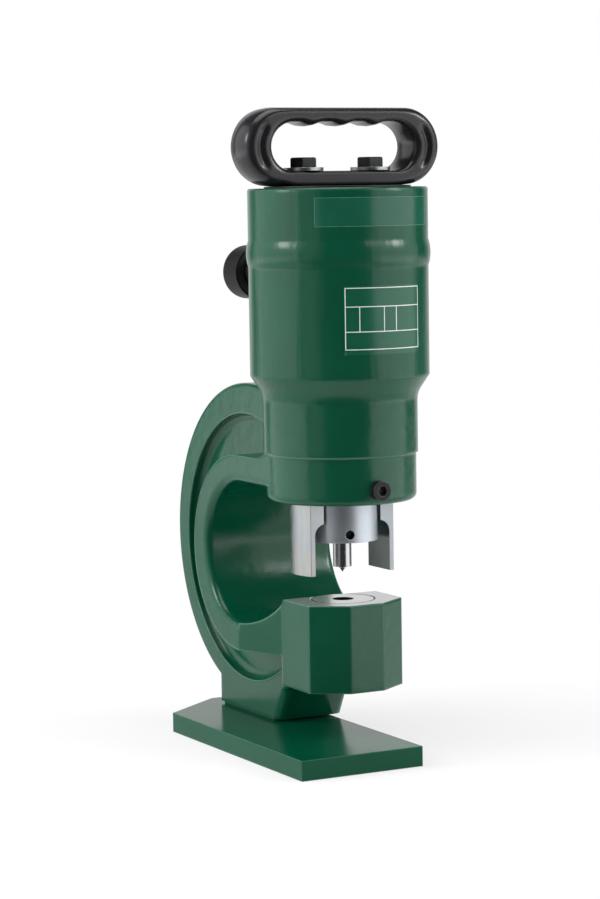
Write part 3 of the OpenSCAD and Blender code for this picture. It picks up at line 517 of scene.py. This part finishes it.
# Past this line the thread is painted black as shade, and is rougher and not metal.
thread_shade = put(tree, "ShaderNodeMath", {0: end, 1: thread_y}, operation="GREATER_THAN").outputs["Value"]
pale = mottle(tree, place, patch=8 * mm, detail=3.0, dark="#c6c7cb", light="#e0dfe0")[1]
black = mottle(tree, place, patch=8 * mm, detail=3.0, dark="#0b0b0b", light="#1b1b1a")[1]
colour = put(tree, "ShaderNodeMix", {"Factor": thread_shade, 6: pale, 7: black}, data_type="RGBA")
metal = put(tree, "ShaderNodeMath", {0: 1.0, 1: thread_shade}, operation="SUBTRACT")
rough = put(tree, "ShaderNodeMapRange", {"Value": thread_shade, "To Min": 0.32, "To Max": 0.65})
rounded = put(tree, "ShaderNodeBevel", {"Radius": 0.5 * mm}, samples=6)
look = {
    "Base Color": colour.outputs[2],
    "Metallic": metal.outputs["Value"],
    "Roughness": rough.outputs["Result"],
    "Normal": rounded.outputs["Normal"],
}
shader = put(tree, "ShaderNodeBsdfPrincipled", look)
tree.links.new(shader.outputs["BSDF"], surface)
wear(plated_with_painted_shade, "coupler_body")

# Punch nut: a round nut with a cross hole for a pin spanner, which clamps the punch to the ram.
# It and the spring seat are steel left from the lathe, with fine rings that blur what they mirror.
turned_steel, tree, surface, place = blank("Turned steel")
bright = mottle(tree, place, patch=10 * mm, detail=3.0, dark="#c0c8d0", light="#d6dce2")[1]
# The cross hole is painted black as shade: its wall doesn't face away from the axis.
nut_low, nut_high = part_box("punch_nut")
nut_end = 1.0 * mm
nut_mid_z, nut_reach = (nut_low.z + nut_high.z) / 2, (nut_high.z - nut_low.z) / 2 - nut_end
out = facing_out(tree, place)
wall = put(tree, "ShaderNodeMath", {0: out, 1: 0.5}, operation="LESS_THAN")
height = put(tree, "ShaderNodeSeparateXYZ", {"Vector": place}).outputs["Z"]
within = put(tree, "ShaderNodeMath", {0: height, 1: nut_mid_z, 2: nut_reach}, operation="COMPARE")
both = {0: wall.outputs["Value"], 1: within.outputs["Value"]}
hole_shade = put(tree, "ShaderNodeMath", both, operation="MULTIPLY").outputs["Value"]
ends = {"Factor": hole_shade, 6: bright, 7: linear("#0d0d0d")}
colour = put(tree, "ShaderNodeMix", ends, data_type="RGBA").outputs[2]
rounded = put(tree, "ShaderNodeBevel", {"Radius": 0.4 * mm}, samples=6).outputs["Normal"]
# The rings would be about 0.1 mm apart; they are drawn 0.35 mm apart to show.
ring_l, ring_pitch = 40 * mm, 0.35 * mm
ring_scale = (1 / ring_l, 1 / ring_l, 1 / ring_pitch)
rings = put(tree, "ShaderNodeMapping", {"Vector": place, "Scale": ring_scale}).outputs["Vector"]
turning, skin = relief(tree, rings, patch=1, detail=2.0, depth=0.002 * mm, normal=rounded)
rough = put(tree, "ShaderNodeMapRange", {"Value": turning, "To Min": 0.35, "To Max": 0.48})
look = {"Base Color": colour, "Metallic": 0.9, "Roughness": rough.outputs["Result"], "Normal": skin}
shader = put(tree, "ShaderNodeBsdfPrincipled", look)
tree.links.new(shader.outputs["BSDF"], surface)
wear(turned_steel, "punch_nut", "spring_seat")

# Die: hardened tool steel, ground flat together with the block it drops into.
# Its bore and a thin ring round its edge, along the gap to the block, are painted near black as shade.
die_steel, tree, surface, place = blank("Ground die steel")
steel = grinding(tree, place, -35, "#cbccce", "#e8e8e8")
die_low, die_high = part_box("die")
die_r = (die_high.x - die_low.x) / 2
gap_shade_starts, gap_shade_full = 0.9 * mm, 0.5 * mm
spoke = put(tree, "ShaderNodeVectorMath", {0: place, 1: (1, 1, 0)}, operation="MULTIPLY")
from_axis = put(tree, "ShaderNodeVectorMath", {0: spoke.outputs["Vector"]}, operation="LENGTH")
span = {"From Min": die_r - gap_shade_starts, "From Max": die_r - gap_shade_full}
rim = put(tree, "ShaderNodeMapRange", {"Value": from_axis.outputs["Value"], **span})
flat = put(tree, "ShaderNodeNewGeometry").outputs["Normal"]
facing = put(tree, "ShaderNodeSeparateXYZ", {"Vector": flat}).outputs["Z"]
wall = put(tree, "ShaderNodeMath", {0: facing, 1: 0.5}, operation="LESS_THAN")
both = {0: rim.outputs["Result"], 1: wall.outputs["Value"]}
# Painted shade: near black and rougher in the bore and along the gap.
gap_and_bore_shade = put(tree, "ShaderNodeMath", both, operation="MAXIMUM").outputs["Value"]
colour = put(tree, "ShaderNodeMix", {"Factor": gap_and_bore_shade, 6: steel, 7: linear("#1a1b1a")}, data_type="RGBA")
rough = put(tree, "ShaderNodeMapRange", {"Value": gap_and_bore_shade, "To Min": 0.22, "To Max": 0.5})
look = {"Base Color": colour.outputs[2], "Metallic": 0.8, "Roughness": rough.outputs["Result"]}
shader = put(tree, "ShaderNodeBsdfPrincipled", look)
tree.links.new(shader.outputs["BSDF"], surface)
wear(die_steel, "die")

# Punch, ram and valve poppet: hardened steel, ground and polished for a close fit.
# The punch is turned in one piece, with a sharp point that finds the centre mark, and the nut
# holds it by its cone.
ground_steel, tree, surface, place = blank("Ground and polished steel")
cloud, colour = mottle(tree, place, patch=10 * mm, detail=3.0, dark="#b4b6b8", light="#d2d3d5")
rounded = put(tree, "ShaderNodeBevel", {"Radius": 0.3 * mm}, samples=6).outputs["Normal"]
rough = put(tree, "ShaderNodeMapRange", {"Value": cloud, "To Min": 0.16, "To Max": 0.26})
look = {"Base Color": colour, "Metallic": 1.0, "Roughness": rough.outputs["Result"], "Normal": rounded}
shader = put(tree, "ShaderNodeBsdfPrincipled", look)
tree.links.new(shader.outputs["BSDF"], surface)
wear(ground_steel, "punch", "ram", "coupler_poppet")

punch_low, punch_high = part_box("punch")
cone_r = (punch_high.x - punch_low.x) / 2
punch_r = cone_r / 2
point_r, point_h, point_land = 1.9 * mm, 2.6 * mm, 0.9 * mm
face_z = punch_low.z + point_h + point_land
bm = bmesh.new()
profile = [
    (0, punch_low.z),
    (point_r, punch_low.z + point_h),
    (point_r, face_z),
    (punch_r, face_z),
    (punch_r, punch_high.z - punch_r),
    (cone_r, punch_high.z),
    (0, punch_high.z),
]
points = [bm.verts.new((r, 0, z)) for r, z in profile]
edges = [bm.edges.new(pair) for pair in zip(points, points[1:])]
bmesh.ops.spin(
    bm,
    geom=points + edges,
    axis=(0, 0, 1),
    cent=(0, 0, 0),
    angle=math.tau,
    steps=64,
    use_merge=True,
    use_duplicate=False,
)
bmesh.ops.remove_doubles(bm, verts=bm.verts[:], dist=0.001 * mm)
bmesh.ops.recalc_face_normals(bm, faces=bm.faces[:])
pointed = make_piece(bm, "pointed_punch", 28, ground_steel)
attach(pointed, "ram")
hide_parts("punch")

# Springs: hard-drawn wire with draw marks and a thin grey oil film, wound with closed ends.
# One end of each stands still, and the other follows the piston or the valve; here the coils are copies
# fixed where the parts lie.
spring_wire, tree, surface, place = blank("Hard-drawn spring wire")
draw, colour = mottle(tree, place, patch=1.5 * mm, detail=3.0, dark="#6d6f72", light="#96989b")
bump = put(tree, "ShaderNodeBump", {"Height": draw, "Strength": 1.0, "Distance": 0.02 * mm})
look = {"Base Color": colour, "Metallic": 1.0, "Roughness": 0.38, "Normal": bump.outputs["Normal"]}
shader = put(tree, "ShaderNodeBsdfPrincipled", look)
tree.links.new(shader.outputs["BSDF"], surface)
wear(spring_wire, "return_spring", "coupler_spring")
for name, follows, axis in (
    ("return_spring", "ram", Vector((0, 0, 1))),
    ("coupler_spring", "poppet", Vector((0, 1, 0))),
):
    bm = bmesh.new()
    bm.from_mesh(nodes[name].data)
    bmesh.ops.remove_doubles(bm, verts=bm.verts[:], dist=0.001 * mm)
    coils = make_piece(bm, name + "_coils", 50, spring_wire)
    low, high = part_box(name)
    centre = (low + high) / 2
    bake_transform(coils)
    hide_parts(name)

# Guide bush, wear ring and coupler washer: bronze, machined to size. The bush is pressed in, the
# ring lies in the piston's groove, and the coupler clamps the washer. Oil darkens it in patches.
bronze, tree, surface, place = blank("Machined bronze")
stain, colour = mottle(tree, place, patch=6 * mm, detail=3.0, dark="#8f6a35", light="#b98f50")
bump = put(tree, "ShaderNodeBump", {"Height": stain, "Strength": 1.0, "Distance": 0.02 * mm})
look = {"Base Color": colour, "Metallic": 1.0, "Roughness": 0.36, "Normal": bump.outputs["Normal"]}
shader = put(tree, "ShaderNodeBsdfPrincipled", look)
tree.links.new(shader.outputs["BSDF"], surface)
wear(bronze, "guide_bush", "piston_wear_ring", "coupler_washer")

# Piston seal and rod wiper: polyurethane, moulded in one piece and snapped into their grooves.
# It is smooth, satin and dark blue.
polyurethane, tree, surface, place = blank("Moulded polyurethane")
cloud, colour = mottle(tree, place, patch=9 * mm, detail=2.0, dark="#22304f", light="#2e3f63")
bump = put(tree, "ShaderNodeBump", {"Height": cloud, "Strength": 1.0, "Distance": 0.03 * mm})
look = {"Base Color": colour, "Roughness": 0.4, "IOR": 1.5, "Normal": bump.outputs["Normal"]}
shader = put(tree, "ShaderNodeBsdfPrincipled", look)
tree.links.new(shader.outputs["BSDF"], surface)
wear(polyurethane, "piston_seal", "rod_wiper")

# Dust cap and O-ring: black rubber, satin from the mould. The cap is pushed over the coupler's
# thread, and the ring lies in the plug's groove. Dust and handling leave faint patches.
rubber, tree, surface, place = blank("Black moulded rubber")
colour = mottle(tree, place, patch=7 * mm, detail=4.0, dark="#070707", light="#121212")[1]
rounded = put(tree, "ShaderNodeBevel", {"Radius": 0.8 * mm}, samples=6).outputs["Normal"]
skin = relief(tree, place, patch=0.8 * mm, detail=2.0, depth=0.015 * mm, normal=rounded)[1]
look = {"Base Color": colour, "Roughness": 0.42, "Specular IOR Level": 0.18, "IOR": 1.5, "Normal": skin}
shader = put(tree, "ShaderNodeBsdfPrincipled", look)
tree.links.new(shader.outputs["BSDF"], surface)
wear(rubber, "dust_cap", "cap_o_ring")

# Studio: a paper floor that fades to white away from the part, and a world that is white to the
# camera. The part mirrors a bright wall behind it, a pale table at its sides and behind it, and
# a dim room in front.
floor_paper, tree, surface, place = blank("White paper floor")
colour = mottle(tree, place, patch=30 * mm, detail=2.0, dark="#ececec", light="#f2f2f2")[1]
paper = put(tree, "ShaderNodeBsdfDiffuse", {"Color": colour})
white = put(tree, "ShaderNodeEmission", {"Color": (1, 1, 1, 1), "Strength": 1.0})
from_part = put(tree, "ShaderNodeVectorMath", {0: place}, operation="LENGTH").outputs["Value"]
span = {"From Min": 150 * mm, "From Max": 700 * mm, "To Min": 0.62, "To Max": 1.0}
far = put(tree, "ShaderNodeMapRange", {"Value": from_part, **span}, interpolation_type="SMOOTHSTEP")
seen = put(tree, "ShaderNodeLightPath").outputs["Is Camera Ray"]
fade = put(tree, "ShaderNodeMath", {0: seen, 1: far.outputs["Result"]}, operation="MULTIPLY")
ends = {"Fac": fade.outputs["Value"], 1: paper.outputs["BSDF"], 2: white.outputs["Emission"]}
mix = put(tree, "ShaderNodeMixShader", ends)
tree.links.new(mix.outputs["Shader"], surface)

floor_half, floor_drop = 12, 0.2 * mm
bm = bmesh.new()
bmesh.ops.create_grid(bm, x_segments=1, y_segments=1, size=floor_half)
bmesh.ops.translate(bm, verts=bm.verts[:], vec=(0, 0, -floor_drop))
floor = make_piece(bm, "studio_floor", 180, floor_paper)
floor.visible_glossy = False

world = bpy.data.worlds.new("Studio")
bpy.context.scene.world = world
world.use_nodes = True
tree = world.node_tree
tree.nodes.clear()
direction = put(tree, "ShaderNodeTexCoord").outputs["Generated"]
away = (0.47, 0.88, 0.0)
behind = put(tree, "ShaderNodeVectorMath", {0: direction, 1: away}, operation="DOT_PRODUCT").outputs["Value"]
span = {"From Min": 0.72, "From Max": 0.95, "To Min": 0.04, "To Max": 0.85}
level = put(tree, "ShaderNodeMapRange", {"Value": behind, **span}, interpolation_type="SMOOTHSTEP")
# The table is pale where light falls on it, at the sides and behind, and dark in front.
rise = put(tree, "ShaderNodeSeparateXYZ", {"Vector": direction}).outputs["Z"]
span = {"From Min": -0.06, "From Max": -0.15, "To Min": 0.0, "To Max": 0.8}
table = put(tree, "ShaderNodeMapRange", {"Value": rise, **span})
span = {"From Min": -0.85, "From Max": -0.45}
lit = put(tree, "ShaderNodeMapRange", {"Value": behind, **span}, interpolation_type="SMOOTHSTEP")
both = {0: table.outputs["Result"], 1: lit.outputs["Result"]}
below = put(tree, "ShaderNodeMath", both, operation="MULTIPLY")
both = {0: level.outputs["Result"], 1: below.outputs["Value"]}
around = put(tree, "ShaderNodeMath", both, operation="MAXIMUM").outputs["Value"]
path = put(tree, "ShaderNodeLightPath")
ends = {"Factor": path.outputs["Is Glossy Ray"], 2: 0.22, 3: around}
mirrored = put(tree, "ShaderNodeMix", ends, data_type="FLOAT").outputs[0]
ends = {"Factor": path.outputs["Is Camera Ray"], 2: mirrored, 3: 1.0}
strength = put(tree, "ShaderNodeMix", ends, data_type="FLOAT").outputs[0]
backdrop = put(tree, "ShaderNodeBackground", {"Color": (1, 1, 1, 1), "Strength": strength})
put(tree, "ShaderNodeOutputWorld", {"Surface": backdrop.outputs["Background"]})

# Lamps: four soft boxes that light the part and show on it, two small ones and a strip that only
# show, as glints and a pale band on glossy paint, and two fills that only light. Each row has its
# place and size in metres, its watts, whether it lights and whether it shows.
middle = Vector((0, 30 * mm, 200 * mm))
for name, place, width, tall, watts, lights, shows in (
    ("soft_box_left", (-1.28, 0.7, 0.62), 2.5, 1.5, 11.7, True, True),
    ("soft_box_front_left", (-1.4, -0.7, 0.62), 0.6, 1.5, 1.2, True, True),
    ("soft_box_right", (1.08, -0.92, 0.5), 2.0, 1.6, 10, True, True),
    ("soft_box_top", (-0.1, 0.0, 1.7), 1.4, 1.4, 15, True, True),
    ("glint_left", (-1.35, 0.29, 0.86), 0.5, 0.35, 4.5, False, True),
    ("glint_right", (1.05, -0.88, 0.86), 0.4, 0.35, 4.5, False, True),
    ("strip_high_right", (0.8, -1.2, 1.12), 1.3, 0.5, 2.5, False, True),
    ("fill_left", (-1.45, 0.6, 0.75), 1.4, 1.5, 25, True, False),
    ("fill_right", (1.45, -0.85, 0.75), 1.4, 1.5, 20, True, False),
):
    lamp = bpy.data.lights.new(name, "AREA")
    lamp.shape, lamp.size, lamp.size_y, lamp.energy = "RECTANGLE", width, tall, watts
    box = bpy.data.objects.new(name, lamp)
    box.location = place
    box.rotation_mode = "QUATERNION"
    box.rotation_quaternion = (middle - box.location).to_track_quat("-Z", "Y")
    box.visible_camera = False
    box.visible_diffuse = lights
    box.visible_glossy = shows
    bpy.context.scene.collection.objects.link(box)

# Camera: where the photograph was taken from, about 1.6 m away, a little above the die and to the
# left of the front, with a long lens and a slight tilt.
azimuth, elevation, tilt = (math.radians(a) for a in (-28.0, 5.42, 0.869))
distance, aim_z, aim_left = 1634.6 * mm, 184.2 * mm, 24.66 * mm
level_out = Vector((math.sin(azimuth), -math.cos(azimuth), 0))
back = level_out * math.cos(elevation) + Vector((0, 0, math.sin(elevation)))
right = Vector((math.cos(azimuth), math.sin(azimuth), 0))
up = back.cross(right)
target = Vector((0, 0, aim_z)) - right * aim_left
across = right * math.cos(tilt) - up * math.sin(tilt)
upright = right * math.sin(tilt) + up * math.cos(tilt)
looking = Matrix((across, upright, back)).transposed().to_4x4()
lens = bpy.data.cameras.new("camera")
lens.sensor_width = 36
lens.lens = 108.5
camera = bpy.data.objects.new("camera", lens)
camera.matrix_world = Matrix.Translation(target + back * distance) @ looking
bpy.context.scene.collection.objects.link(camera)
bpy.context.scene.camera = camera
bpy.context.scene.view_settings.view_transform = "Standard"
